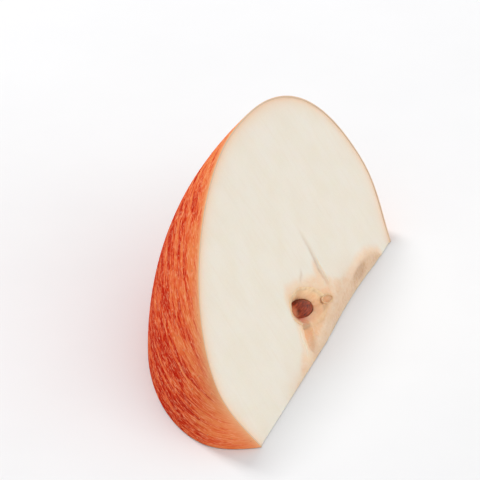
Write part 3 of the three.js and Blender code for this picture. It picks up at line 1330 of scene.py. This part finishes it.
@dataclass
class Peel:
    """The peel: a thin shell turned about the core's axis between the two cuts."""

    shape: FruitShape
    thickness: float = 0.22 * MM
    proud: float = 0.02 * MM
    rows: int = 420
    surface_columns: int = 70
    rim_columns: int = 4
    waviness: float = 0.07 * MM
    wave_size: float = 9.0 * MM
    seed: float = 3.0
    back_rim: Span = (0.0, 0.12)
    front_rim: Span = (1.0, 0.9)
    merge_distance: float = 1e-6
    sharp_angle: float = math.radians(50)

    # Where the peel is warmer or paler: distances are from the front cut, and shares are along its length
    warm_reach: Pair = (1.4 * MM, 2.6 * MM)
    warm_widening: Span = (0.4, 0.62)
    stem_zone: Span = (0.44, 0.78)
    stem_reach: float = 9 * MM
    stem_floor: float = 0.3
    calyx_zone: Span = (0.14, 0.02)
    warm_shares: Triple = (0.85, 0.95, 0.5)
    # Painted shade: far from the front cut, short of the stem end, the peel is painted a deeper red
    painted_shade_zone: Span = (4 * MM, 13 * MM)
    painted_shade_share: float = 0.5
    glow_reach: Triple = (0.35 * MM, 0.8 * MM, 1.1 * MM)
    glow_calyx: Span = (0.32, 0.08)
    glow_stem: Span = (0.46, 0.62)
    glow_share: float = 0.8
    stem_glow_zone: Span = (0.66, 0.88)
    stem_glow_share: float = 0.75

    def _section(self) -> bpy.types.Object:
        """Makes the section that the tree turns.

        Returns:
            An object with its outer and inner line, as two chains of edges.
        """
        lines = [self.shape.profile(inset, self.rows) for inset in (0.0, self.thickness)]
        points = [(radius, 0, height) for line in lines for radius, height in line.tolist()]
        edges = [(start + step, start + step + 1)
                 for start in (0, self.rows) for step in range(self.rows - 1)]
        mesh = bpy.data.meshes.new("peel")
        mesh.from_pydata(points, edges, [])
        store(mesh, "side", np.repeat([Side.OUTER.value, Side.INNER.value], self.rows))
        return linked("peel", mesh)

    def _turned(self, tree: ShapeTree) -> Socket:
        """Turns the section about the core's axis, as a grid of rows along it and columns round it.

        Args:
            tree: the tree that the nodes go into.

        Returns:
            The shell, with the shares and longitudes that the finish reads stored in it.
        """
        given = tree.given
        grid = tree.node("GeometryNodeMeshGrid", {
            "Size X": 1.0, "Size Y": 1.0, "Vertices X": given["Columns"], "Vertices Y": given["Rows"]})
        spot = tree.parts(tree.position())
        share, along = tree.plus(spot["X"], HALF), tree.plus(spot["Y"], HALF)

        # A row runs over the outer face, round the front rim, back over the inner face and round the back rim
        outer_end = tree.minus(HALF, given["Rim Share"])
        inner_end = tree.minus(1.0, given["Rim Share"])
        turned = tree.math("MINIMUM", tree.ramp(share, 0.0, outer_end),
                           tree.ramp(share, HALF, inner_end, 1.0, 0.0))
        inside = tree.math("MINIMUM", tree.ramp(share, outer_end, HALF),
                           tree.ramp(share, inner_end, 1.0, 1.0, 0.0))

        is_inner = tree.math("GREATER_THAN", tree.attribute("side"), HALF)
        lines = tree.node("GeometryNodeSeparateGeometry",
                          {"Geometry": given["Geometry"], "Selection": is_inner}).outputs
        outer_place, inner_place = (
            self._sampled(tree, lines[name], along) for name in ("Inverted", "Selection"))
        radius, height = (
            tree.plus(outer_place[axis], tree.times(inside, tree.minus(inner_place[axis], outer_place[axis])))
            for axis in ("X", "Z"))

        sine = tree.math("DIVIDE", given["Cut Offset"], radius)
        front = tree.times(tree.math("ARCSINE", tree.math("MINIMUM", sine, 1.0)), -1.0)
        back = tree.times(given["Wedge Angle"], -1.0)
        longitude = tree.plus(back, tree.times(turned, tree.minus(front, back)))
        core_x = tree.times(radius, tree.math("COSINE", longitude))
        core_y = tree.times(radius, tree.math("SINE", longitude))
        wedge_sine = tree.math("SINE", given["Wedge Angle"])
        wedge_cosine = tree.math("COSINE", given["Wedge Angle"])
        from_axis = tree.node("ShaderNodeCombineXYZ", {
            "X": tree.minus(tree.times(core_y, wedge_sine), tree.times(core_x, wedge_cosine)), "Y": height,
            "Z": tree.plus(tree.times(core_x, wedge_sine), tree.times(core_y, wedge_cosine))}).outputs[0]

        mesh = grid.outputs["Mesh"]
        stored = {"inside": inside, "longitude": longitude, "turned": turned, "along": along}
        for name, value in stored.items():
            mesh = tree.then("StoreNamedAttribute", mesh, {"Name": name, "Value": value},
                             data_type="FLOAT", domain="POINT")
        place = tree.vector("ADD", {0: from_axis, 1: given["Axis Place"]})
        mesh = tree.then("SetPosition", mesh, {"Position": place})
        return tree.then("MergeByDistance", mesh, {"Distance": self.merge_distance})

    @staticmethod
    def _sampled(tree: ShapeTree, line: Socket, along: Socket) -> bpy.types.NodeOutputs:
        """Reads one line of the section at a share of its length.

        Args:
            tree: the tree that the nodes go into.
            line: the line, as edges.
            along: the share.

        Returns:
            The place's X, Y and Z.
        """
        curve = tree.node("GeometryNodeMeshToCurve", {"Mesh": line}).outputs[0]
        sample = tree.node("GeometryNodeSampleCurve", mode="FACTOR", use_all_curves=True)
        tree.feed(sample.inputs["Curves"], curve)
        tree.feed(sample.inputs["Factor"], along)
        return tree.parts(sample.outputs["Position"])

    def _tree(self) -> ShapeTree:
        """Builds the tree that makes the shell, with an outer face that is gently uneven between its rims.

        Returns:
            The tree.
        """
        tree = ShapeTree("turned_peel", places=("Axis Place",), wholes=("Rows", "Columns"), numbers=(
            "Rim Share", "Cut Offset", "Wedge Angle", "Waviness", "Wave Size", "Seed"))
        mesh = self._turned(tree)
        facing_out = tree.math("LESS_THAN", tree.attribute("inside"), OUTER_FACE)
        turned = tree.attribute("turned")
        middle = tree.times(tree.ramp(turned, *self.back_rim, smooth=True),
                            tree.ramp(turned, *self.front_rim, smooth=True))
        waves = tree.noise(tree.given["Wave Size"], "Fac")
        lift = tree.times(tree.minus(waves, HALF), tree.given["Waviness"])
        lift = tree.times(tree.times(lift, facing_out), middle)
        normal = tree.node("GeometryNodeInputNormal").outputs[0]
        mesh = tree.then("SetPosition", mesh, {"Offset": tree.vector("SCALE", {0: normal, "Scale": lift})})
        tree.end(tree.then("SetShadeSmooth", mesh))
        return tree

    def build(self, finish: bpy.types.Material) -> bpy.types.Object:
        """Makes the shell and stores what its finish reads.

        Args:
            finish: the peel's material.

        Returns:
            The piece.
        """
        piece = self._section()
        columns = 2 * (self.surface_columns + self.rim_columns) + 1
        self._tree().reshape(piece, {
            "Rows": self.rows, "Columns": columns, "Rim Share": self.rim_columns / (columns - 1),
            "Cut Offset": self.shape.front_cut_offset - self.proud, "Wedge Angle": self.shape.wedge_angle,
            "Axis Place": (self.shape.axis_x, -self.shape.height / 2, 0.0), "Waviness": self.waviness,
            "Wave Size": self.wave_size, "Seed": self.seed, "Finish": finish,
        })
        self._paint(piece.data)
        piece.data.set_sharp_from_angle(angle=self.sharp_angle)
        return piece

    def _paint(self, mesh: bpy.types.Mesh) -> None:
        """Stores the map of longitude and length, where the peel is warmer, and the painted shade that
        deepens its red far from the front cut.

        Args:
            mesh: the peel's mesh.
        """
        longitude, along = (np.empty(len(mesh.vertices), np.float32) for _ in range(2))
        mesh.attributes["longitude"].data.foreach_get("value", longitude)
        mesh.attributes["along"].data.foreach_get("value", along)
        line = self.shape.profile(0.0, self.rows)
        length = np.linalg.norm(np.diff(line, axis=0), axis=1).sum()
        radii = np.interp(along, np.linspace(0, 1, self.rows), line[:, 0])
        from_front = (self.shape.front_turn(radii) - longitude) * radii
        beside = np.clip(from_front, 0, None)

        narrow, wider = self.warm_reach
        beside_cut = np.exp(-beside / (narrow + wider * smooth_step(along, *self.warm_widening)))
        stem_end = smooth_step(along, *self.stem_zone)
        stem_end = stem_end * (self.stem_floor + (1 - self.stem_floor) * np.exp(-beside / self.stem_reach))
        cut_share, stem_share, calyx_share = self.warm_shares
        warm = np.clip(cut_share * beside_cut + stem_share * stem_end
                       + calyx_share * smooth_step(along, *self.calyx_zone), 0, 1)
        # Painted shade: the peel's warmth is lowered far from the front cut, which paints it a deeper red
        # there
        painted_shade_side = smooth_step(from_front, *self.painted_shade_zone) * (1 - stem_end)
        store(mesh, "warm", warm - self.painted_shade_share * painted_shade_side)

        least, calyx, stem = self.glow_reach
        paler = (least + calyx * smooth_step(along, *self.glow_calyx)
                 + stem * smooth_step(along, *self.glow_stem))
        stem_glow = self.stem_glow_share * smooth_step(along, *self.stem_glow_zone) * stem_end
        store(mesh, "edge", np.maximum(self.glow_share * np.exp(-beside / paler), stem_glow))

        layer = mesh.uv_layers.new(name="UVMap")
        corners = np.empty(len(mesh.loops), np.int32)
        mesh.loops.foreach_get("vertex_index", corners)
        flat = np.stack([longitude[corners] * self.shape.radius, along[corners] * length], axis=1)
        layer.data.foreach_set("uv", flat.astype(np.float32).ravel())


@dataclass
class PeelDots:
    """The small pale dots that are scattered over the peel's outer face."""

    spacing: float = 2.1 * MM
    density: float = 160_000.0
    smallest: float = 0.09 * MM
    largest: float = 0.17 * MM
    flatness: float = 0.16
    half_spread: float = 0.47
    seed: int = 5

    def _tree(self) -> ShapeTree:
        """Builds the tree that scatters the dots.

        Returns:
            The tree.
        """
        tree = ShapeTree("scattered_dots", wholes=("Seed",), numbers=(
            "Spacing", "Density", "Smallest", "Largest", "Flatness", "Half Spread"))
        given = tree.given
        outer = tree.math("LESS_THAN", tree.attribute("inside"), OUTER_FACE)
        from_middle = tree.math("ABSOLUTE", tree.minus(tree.attribute("turned"), HALF))
        open_face = tree.times(outer, tree.math("LESS_THAN", from_middle, given["Half Spread"]))
        points = tree.node("GeometryNodeDistributePointsOnFaces", {
            "Mesh": given["Geometry"], "Selection": open_face, "Distance Min": given["Spacing"],
            "Density Max": given["Density"], "Seed": given["Seed"]}, distribute_method="POISSON").outputs
        ball = tree.node("GeometryNodeMeshIcoSphere", {"Radius": 1.0, "Subdivisions": 2}).outputs[0]
        flat = tree.node("ShaderNodeCombineXYZ", {"X": 1.0, "Y": 1.0, "Z": given["Flatness"]}).outputs[0]
        dot = tree.then("Transform", ball, {"Scale": flat})
        size = tree.node("FunctionNodeRandomValue", {2: given["Smallest"], 3: given["Largest"],
                                                     "Seed": given["Seed"]}, data_type="FLOAT").outputs[1]
        tree.end(tree.node("GeometryNodeInstanceOnPoints", {
            "Points": points["Points"], "Instance": dot, "Rotation": points["Rotation"],
            "Scale": size}).outputs[0])
        return tree

    def build(self, peel: bpy.types.Object, finish: bpy.types.Material) -> bpy.types.Object:
        """Scatters the dots over the peel.

        Args:
            peel: the finished peel.
            finish: the dots' material.

        Returns:
            The piece.
        """
        piece = linked("peel_dots", peel.data.copy())
        self._tree().reshape(piece, {
            "Spacing": self.spacing, "Density": self.density, "Smallest": self.smallest,
            "Largest": self.largest, "Flatness": self.flatness, "Half Spread": self.half_spread,
            "Seed": self.seed, "Finish": finish})
        piece.data.shade_smooth()
        return piece


# ---------------------------------------------------------------- the core


@dataclass(frozen=True)
class Wave:
    """A wave round a rim: its size, how many times it comes round, and where it starts."""

    size: float
    count: int
    start: float

    def at(self, turn: np.ndarray) -> np.ndarray:
        """Gives the wave's height at angles round the rim."""
        return self.size * np.cos(self.count * turn + self.start)


@dataclass
class CellLining:
    """The parchment of the open seed cell: it closes round the pip, and its lip lies on the flesh."""

    flesh: Flesh
    pip: "Pip"
    floor_depth: float = 2.85 * MM
    pocket_floor: float = 2.70 * MM
    clearance: float = 1.04
    mouth_far: float = 0.99
    mouth_near: float = 0.78
    mouth_gap: float = 0.03 * MM
    edge_height: float = 0.05 * MM
    lip_reach: float = 1.18
    lip_waves: tuple[Wave, ...] = (Wave(0.035, 3, 1.0), Wave(0.02, 7, 0.4), Wave(0.012, 13, 2.0))
    mouth_waves: tuple[Wave, ...] = (Wave(0.02, 3, 1.0), Wave(0.015, 8, 0.0))
    flare_power: float = 1.7
    lip_lift: float = 0.012 * MM
    lip_root: float = 0.08 * MM
    bowl_start: float = 0.96
    turns: int = 160
    rings: int = 16
    mouth_rings: int = 8
    lip_rings: int = 22

    # The calyx end's reddish tint, part stain and part painted shade: where it lies round the pip, how far it
    # spreads, and how strong it is
    stain_and_shade_turn: float = math.radians(238)
    stain_and_shade_width: float = 0.75
    stain_and_shade_zone: Span = (1.15, 0.6)
    core_side: Span = (0.25, -0.4)
    deep_zone: Span = (0.1 * MM, 0.9 * MM)
    stain_and_shade_shares: Triple = (0.85, 0.2, 0.15)

    def build(self, finish: bpy.types.Material) -> bpy.types.Object:
        """Makes the lining, from the pocket's floor up round the pip, out to the lip and back below.

        Args:
            finish: its material.

        Returns:
            The piece.
        """
        turn = np.linspace(0, math.tau, self.turns, endpoint=False)[None, :]
        outline = np.stack(self.pip.outline(turn))
        brim = outline * self.clearance
        fall = np.linspace(0, math.pi / 2, self.rings)[:, None]
        pocket = brim * np.sin(fall)
        pocket_depth = self.pip.sunk + (self.pocket_floor - self.pip.sunk) * np.cos(fall) + 0 * turn

        # The mouth lies over the pip's edge, and more of it on the core edge's side
        away = np.where(np.cos(turn) > 0, self.mouth_far, self.mouth_near)
        share = np.stack([away, np.full(turn.shape, self.mouth_far)])
        mouth = outline * share * (1 + sum(wave.at(turn) for wave in self.mouth_waves))
        inwards = np.linspace(0, 1, self.mouth_rings + 1)[1:, None]
        cover = brim + (mouth - brim) * inwards
        cover_depth = self.pip.top(*cover) - self.mouth_gap * inwards

        # From the mouth the lining opens out to an uneven lip that lies on the flesh
        reach = self.lip_reach + sum(wave.at(turn) for wave in self.lip_waves)
        lip = SEED_CELL.ring(turn) * reach
        flare = np.linspace(0, 1, self.lip_rings + 1)[:, None]
        closed = (1 - flare) ** self.flare_power
        opening = mouth + (lip - mouth) * flare
        across, height = SEED_CELL.at(*opening)
        ground = self.flesh.ground(across.ravel(), height.ravel()).reshape(across.shape)
        brink = cover_depth[-1:] - self.edge_height
        opening_depth = brink * closed + (ground - self.lip_lift) * (1 - closed)

        fall = np.linspace(0, self.bowl_start * math.pi / 2, self.rings)[::-1, None]
        bowl = SEED_CELL.ring(turn) * np.sin(fall)
        bowl_depth = self.floor_depth * np.cos(fall) + 0 * turn
        wide, long = np.concatenate([pocket, cover, opening, lip, bowl], axis=1)
        depth = np.concatenate([pocket_depth, cover_depth, opening_depth, ground[-1:] + self.lip_root,
                                bowl_depth])
        points = self.flesh.shape.place(*SEED_CELL.at(wide, long), depth)
        piece = lofted_piece("cell_lining", points, finish)
        self._paint(piece.data)
        return piece

    def _paint(self, mesh: bpy.types.Mesh) -> None:
        """Stores the reddish tint that spreads from the pip at the calyx end of the cell, partly a stain and
        partly painted shade, with more deeper in the cell and on the core edge's side.

        Args:
            mesh: the lining's mesh.
        """
        across, height, depth = self.flesh.shape.unplace(vertex_array(mesh))
        wide, long = SEED_CELL.local(across, height)
        turn = np.arctan2(long * SEED_CELL.half_length / self.pip.length,
                          wide * SEED_CELL.half_width / self.pip.width)
        off_turn = (turn - self.stain_and_shade_turn + math.pi) % math.tau - math.pi
        spread = np.exp(-(off_turn / self.stain_and_shade_width) ** 2)
        spread *= smooth_step(np.hypot(wide, long), *self.stain_and_shade_zone)
        spread_share, side_share, deep_share = self.stain_and_shade_shares
        # The tint is partly a stain and partly painted shade
        stain_and_painted_light = spread_share * spread + side_share * smooth_step(wide, *self.core_side)
        stain_and_painted_light += deep_share * smooth_step(depth, *self.deep_zone)
        store(mesh, "stain_and_painted_light", np.clip(stain_and_painted_light, 0, 1))


@dataclass
class CoreStrands:
    """Thin raised lines of the core, which lie half sunk in the front cut."""

    name: str
    shape: FruitShape
    strands: tuple[Strand, ...]
    wander: float = 0.12 * MM
    wander_size: float = 1.4 * MM
    taper: float = 0.75
    tube_sides: int = 10
    step: float = 0.2 * MM

    @staticmethod
    def _tree() -> ShapeTree:
        """Builds the tree that gives a line its thickness.

        Returns:
            The tree.
        """
        tree = ShapeTree("strand_tube", wholes=("Sides",), numbers=(
            "Thickness", "Taper", "Wander", "Wander Size", "Step", "Seed"))
        given = tree.given
        line = tree.node("GeometryNodeResampleCurve", {"Curve": given["Geometry"], "Length": given["Step"]},
                         mode="LENGTH").outputs[0]
        drift = tree.vector("SUBTRACT", {0: tree.noise(given["Wander Size"], "Color"), 1: (HALF,) * 3})
        drift = tree.vector("SCALE", {0: drift, "Scale": given["Wander"]})
        line = tree.then("SetPosition", line, {"Offset": drift})
        along = tree.node("GeometryNodeSplineParameter").outputs["Factor"]
        bulge = tree.math("SINE", tree.times(along, math.pi))
        width = tree.minus(1.0, tree.times(given["Taper"], tree.minus(1.0, bulge)))
        circle = tree.node("GeometryNodeCurvePrimitiveCircle",
                           {"Resolution": given["Sides"], "Radius": given["Thickness"]}).outputs[0]
        tube = tree.node("GeometryNodeCurveToMesh", {"Curve": line, "Profile Curve": circle,
                                                     "Scale": width, "Fill Caps": True}).outputs[0]
        tree.end(tree.then("SetShadeSmooth", tube))
        return tree

    def _host(self, name: str, strand: Strand) -> bpy.types.Object:
        """Makes a smooth curve through a strand's points.

        Args:
            name: the object's name.
            strand: the strand.

        Returns:
            The curve object.
        """
        curve = bpy.data.curves.new(name, "CURVE")
        curve.dimensions = "3D"
        spline = curve.splines.new("BEZIER")
        line = strand.line(self.shape)
        spline.bezier_points.add(len(line) - 1)
        for knot, point in zip(spline.bezier_points, line):
            knot.co = Vector(point)
            knot.handle_left_type = knot.handle_right_type = "AUTO"
        spline.use_cyclic_u = strand.closed
        return linked(name, curve)

    def build(self, finish: bpy.types.Material) -> bpy.types.Object:
        """Makes all the strands as one piece.

        Args:
            finish: their material.

        Returns:
            The piece.
        """
        tree = self._tree()
        work = bmesh.new()
        for number, strand in enumerate(self.strands):
            host = self._host(f"strand_{number}", strand)
            part = tree.run(host, {
                "Thickness": strand.radius, "Taper": 0.0 if strand.closed else self.taper,
                "Wander": self.wander, "Wander Size": self.wander_size, "Step": self.step,
                "Sides": self.tube_sides, "Seed": float(number), "Finish": finish})
            work.from_mesh(part)
            bpy.data.meshes.remove(part)
            bpy.data.objects.remove(host)
        mesh = bpy.data.meshes.new(self.name)
        bmesh.ops.recalc_face_normals(work, faces=work.faces)
        work.to_mesh(mesh)
        work.free()
        mesh.materials.append(finish)
        mesh.shade_smooth()
        return linked(self.name, mesh)


@dataclass
class Pip:
    """The pip: a flattened teardrop with a seam round it, a pale point at its stem end and a lighter calyx
    end that is partly a painted reflection.
    """

    shape: FruitShape
    length: float = 6.6 * MM
    width: float = 3.5 * MM
    thickness: float = 2.3 * MM
    taper: float = 0.28
    sunk: float = 1.4 * MM
    seam: float = 0.05
    seam_width: float = 0.16
    ribs: int = 17
    rib_height: float = 0.012
    rib_wander: tuple[float, int] = (1.5, 3)
    turns: int = 96
    rings: int = 110
    # The calyx end is painted lighter: partly the pip's own paler end, partly a painted reflection
    calyx_tip: Span = (-0.6, -0.95)
    stem_tip: Span = (0.9, 1.0)
    tip_shares: Pair = (0.85, 0.6)

    def outline(self, turn: np.ndarray) -> tuple[np.ndarray, np.ndarray]:
        """Gives the pip's outline in the plane of the cut.

        Args:
            turn: angles round it, from 0 at the side away from the core edge to 90 degrees at the stem end.

        Returns:
            Offsets over and along the seed cell.
        """
        narrowed = 1 - self.taper * (1 + np.sin(turn)) / 2
        return self.width / 2 * np.cos(turn) * narrowed, self.length / 2 * np.sin(turn)

    def top(self, wide: np.ndarray, long: np.ndarray) -> np.ndarray:
        """Gives the depth of the pip's upper face, or of its middle for places beside it.

        Args:
            wide: offsets over the seed cell.
            long: offsets along it.

        Returns:
            The depths below the front cut.
        """
        share = np.clip(long / (self.length / 2), -1, 1)
        girth = np.sqrt(1 - share ** 2) * (1 - self.taper * (1 + share) / 2)
        aside = np.clip(np.abs(wide) / (self.width / 2 * girth + TINY), 0, 1)
        return self.sunk - self.thickness / 2 * girth * np.sqrt(1 - aside ** 2)

    def build(self, finish: bpy.types.Material) -> bpy.types.Object:
        """Makes the pip.

        Args:
            finish: its material.

        Returns:
            The piece.
        """
        fall = np.linspace(0, math.pi, self.rings)[:, None]
        turn = np.linspace(0, math.tau, self.turns, endpoint=False)[None, :]
        narrowed = 1 - self.taper * (1 - np.cos(fall)) / 2
        girth = np.sin(fall) * narrowed
        seam = 1 + self.seam * np.exp(-(np.sin(turn) / self.seam_width) ** 2) * np.sin(fall)
        sway, waves = self.rib_wander
        ribs = 1 + self.rib_height * np.cos(turn * self.ribs + sway * np.sin(waves * fall)) * np.sin(fall)
        wide = self.width / 2 * girth * np.cos(turn) * (2 - 1 / seam) / (1 + self.seam) * ribs
        deep = self.thickness / 2 * girth * np.sin(turn) * ribs
        long = -self.length / 2 * np.cos(fall) + 0 * turn
        points = self.shape.place(*SEED_CELL.at(wide, long), self.sunk + deep)
        piece = lofted_piece("seed_pip", points, finish)

        across, height, _ = self.shape.unplace(vertex_array(piece.data))
        _, long = SEED_CELL.local(across, height)
        share = long * SEED_CELL.half_length / (self.length / 2)
        calyx_share, stem_share = self.tip_shares
        # The calyx end is partly a painted reflection; the pale stem point is the pip's own
        store(piece.data, "stain_and_painted_light", calyx_share * smooth_step(share, *self.calyx_tip)
              + stem_share * smooth_step(share, *self.stem_tip))
        return piece


# ---------------------------------------------------------------- the studio


@dataclass(frozen=True)
class Lamp:
    """A soft square lamp: where it is, seen from the slice, its size and its power."""

    name: str
    azimuth: float
    elevation: float
    distance: float
    size: float
    power: float


@dataclass
class Studio:
    """A pale floor, a sky that is dimmer on the peel's side, soft lamps and the camera."""

    azimuth: float = math.radians(18.6)
    elevation: float = math.radians(28.7)
    roll: float = math.radians(-1.0)
    camera_distance: float = 0.808
    lens: float = 440.0
    sensor: float = 36.0
    sky: float = 0.83
    dim_side: float = 0.45
    dim_zone: Span = (-1.0, 0.3)
    floor_size: float = 3.0
    floor_drop: float = 0.1 * MM
    lamps: tuple[Lamp, ...] = (
        Lamp("key_lamp", math.radians(-125), math.radians(46.5), 1.0, 0.25, 5.0),
        Lamp("face_lamp", math.radians(66), math.radians(34), 1.2, 0.9, 3.1),
    )

    @staticmethod
    def _direction(azimuth: float, elevation: float) -> Vector:
        """Gives the direction of a place seen from the slice: azimuth 0 is -Y and 90 degrees is +X."""
        level = math.cos(elevation)
        return Vector((math.sin(azimuth) * level, -math.cos(azimuth) * level, math.sin(elevation)))

    def _set_up(self, name: str, data: bpy.types.ID, target: Vector, away: Vector) -> bpy.types.Object:
        """Places a camera or lamp off the target and turns it to face the target.

        Args:
            name: its name.
            data: the camera's or lamp's own data.
            target: what it faces.
            away: its offset from the target.

        Returns:
            The camera or lamp.
        """
        thing = linked(name, data)
        thing.location = target + away
        thing.rotation_euler = away.to_track_quat("Z", "Y").to_euler()
        return thing

    def _sky(self) -> None:
        """Makes the white sky, which is dimmer on the peel's side."""
        scene = bpy.context.scene
        scene.world = bpy.data.worlds.new("studio_sky")
        scene.world.use_nodes = True
        graph = Graph(scene.world.node_tree)
        direction = graph.node("ShaderNodeTexCoord").outputs["Generated"]
        sideways = graph.node("ShaderNodeSeparateXYZ", {0: direction}).outputs["X"]
        strength = graph.ramp(sideways, *self.dim_zone, self.dim_side * self.sky, self.sky, smooth=True)
        background = graph.tree.nodes["Background"]
        background.inputs["Color"].default_value = (1.0, 1.0, 1.0, 1.0)
        graph.feed(background.inputs["Strength"], strength)

    def build(self, target: Vector, floor_finish: bpy.types.Material) -> None:
        """Makes the floor, the sky, the lamps and the camera.

        Args:
            target: what the camera looks at.
            floor_finish: the floor's material.
        """
        half = self.floor_size / 2
        corners = np.array([(-half, -half), (half, -half), (half, half), (-half, half)])
        points = np.column_stack([corners, np.full(4, -self.floor_drop)])
        mesh_piece("floor", points, [(0, 1, 2, 3)], floor_finish)

        scene = bpy.context.scene
        scene.view_settings.view_transform = "Standard"
        self._sky()
        for lamp in self.lamps:
            data = bpy.data.lights.new(lamp.name, "AREA")
            data.shape = "SQUARE"
            data.size = lamp.size
            data.energy = lamp.power
            away = self._direction(lamp.azimuth, lamp.elevation) * lamp.distance
            self._set_up(lamp.name, data, target, away)

        data = bpy.data.cameras.new("camera")
        data.sensor_width = self.sensor
        data.lens = self.lens
        away = self._direction(self.azimuth, self.elevation) * self.camera_distance
        scene.camera = self._set_up("camera", data, target, away)
        scene.camera.rotation_euler.rotate_axis("Z", self.roll)


# ---------------------------------------------------------------- assembly


def attach(piece: bpy.types.Object, slot: str, *nodes: str) -> None:
    """Rides a piece on the slice's body, hides the parts that it stands for, and logs its slot and those
    parts.

    Args:
        piece: the finished piece.
        slot: the record's material slot.
        nodes: the nodes that it replaces.
    """
    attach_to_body(piece, BODY)
    if nodes:
        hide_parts(*nodes)
    faces = len(piece.data.polygons)
    log.info("%s: %d faces, slot %s, replaces %s", piece.name, faces, slot, nodes or "none")


def oval(dent: Dent, points: int, swell: float) -> tuple[Pair, ...]:
    """Gives the points of an oval round a dent, in millimetres.

    Args:
        dent: the dent.
        points: how many points the oval has.
        swell: its size as a share of the dent's.

    Returns:
        The points' across and height.
    """
    turns = [math.tau * number / points for number in range(points)]
    places = [dent.at(*(swell * dent.ring(turn))) for turn in turns]
    return tuple((across / MM, height / MM) for across, height in places)


def main() -> None:
    """Builds the slice's pieces in order, then the studio."""
    shape = FruitShape()
    scoop = Scoop(shape)

    flesh = Flesh(shape, scoop)
    attach(flesh.build(FleshFinish().build(shape.wedge_angle)), "flesh", "slice")
    peel = Peel(shape).build(PeelFinish().build())
    attach(peel, "peel")
    attach(PeelDots().build(peel, DOT_FINISH.build()), "peel")
    pip = Pip(shape)
    attach(CellLining(flesh, pip).build(LINING_FINISH.build()), "core")
    shut_rim = Strand(oval(SHUT_CELL, points=10, swell=1.0), 0.13 * MM, closed=True, sunk=0.13 * MM)
    attach(CoreStrands("shut_cell_rim", shape, (shut_rim,)).build(STRAND_FINISH.build()), "core")
    ridges = CoreStrands("pale_ridges", shape, (VEIN_RIDGE, TAIL_RIDGE))
    attach(ridges.build(RIDGE_FINISH.build()), "core")
    attach(pip.build(PIP_FINISH.build()), "pip", "pip")

    lowest, highest = (Vector(corner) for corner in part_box("slice"))
    Studio().build((lowest + highest) / 2, FLOOR_FINISH.build())


if __name__ == "__main__":
    logging.basicConfig(level=logging.INFO, format="%(name)s: %(message)s")
    main()
